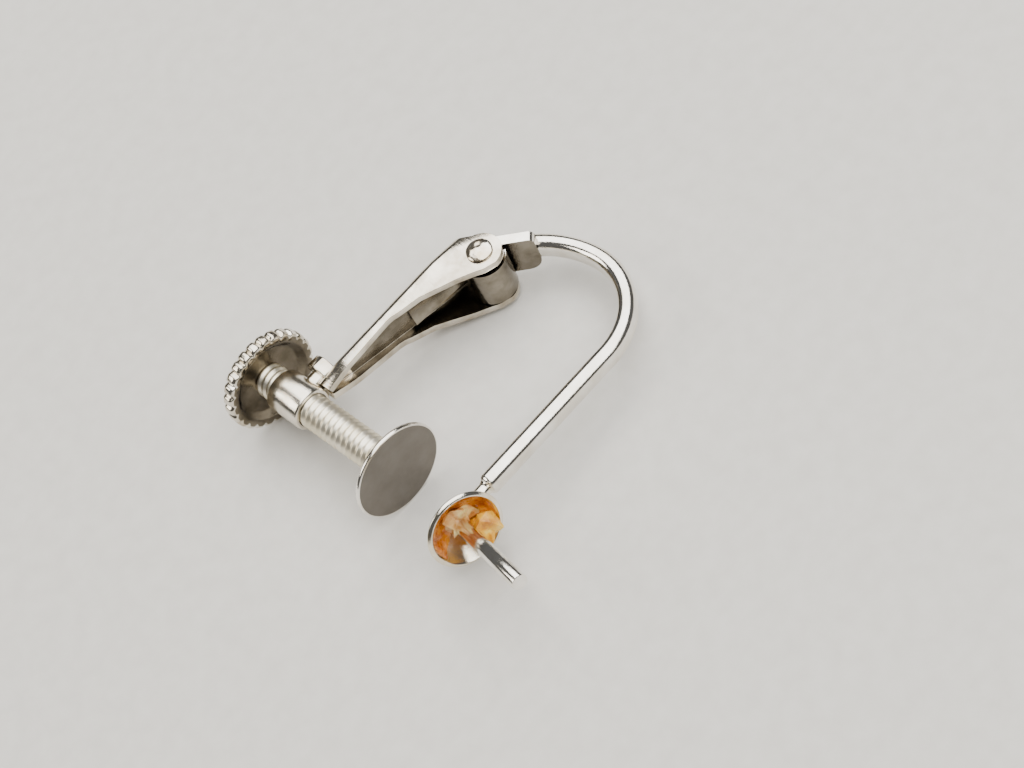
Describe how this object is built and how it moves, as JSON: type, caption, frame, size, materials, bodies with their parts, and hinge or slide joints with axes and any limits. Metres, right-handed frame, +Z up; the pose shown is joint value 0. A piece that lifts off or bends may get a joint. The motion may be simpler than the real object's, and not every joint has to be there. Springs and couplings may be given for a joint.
{
  "type": "clip-on earring finding",
  "caption": "Hinged clip-on earring finding with a U-shaped ear wire, a cup and peg for a half-drilled pearl, and a screw pad that adjusts to the ear lobe.",
  "frame": {"origin": "point of the surface that the hinge rivet's lower head rests on; the earring lies on its side on Z = 0", "axes": "+Z up from the surface; the clip arm runs from the hinge along +X, and the screw points along +Y from the thumbwheel to the pad"},
  "size_m": [0.0196, 0.022, 0.006],
  "materials": {
    "polished_silver": "bright polished silver"
  },
  "bodies": {
    "ear_wire": {"ear_wire": "polished_silver", "hinge_rivet": "polished_silver"},
    "clip": {"clip_arm": "polished_silver", "leaf_spring": "polished_silver", "barrel": "polished_silver"},
    "pad": {"pad": "polished_silver"},
    "screw": {"screw": "polished_silver", "thumbwheel": "polished_silver"}
  },
  "joints": [
    {"name": "clip_hinge", "type": "hinge", "parent": "ear_wire", "child": "clip", "pos_m": [-0.00006, 0.00002, 0.00223], "axis": [0.0558, -0.0177, -0.9983], "range_deg": [0, 80]},
    {"name": "screw_travel", "type": "slide", "parent": "clip", "child": "pad", "axis": [0, 0.9998, -0.0177], "range_m": [-0.0056, 0.0007]},
    {"name": "screw_turn", "type": "hinge", "parent": "pad", "child": "screw", "pos_m": [0.01197, 0.00003, 0.0029], "axis": [0, 0.9998, -0.0177], "range_deg": [-5040, 630]}
  ],
  "couplings": [
    {"joint": "screw_turn", "follows": "screw_travel", "rad_per_m": 15708}
  ]
}
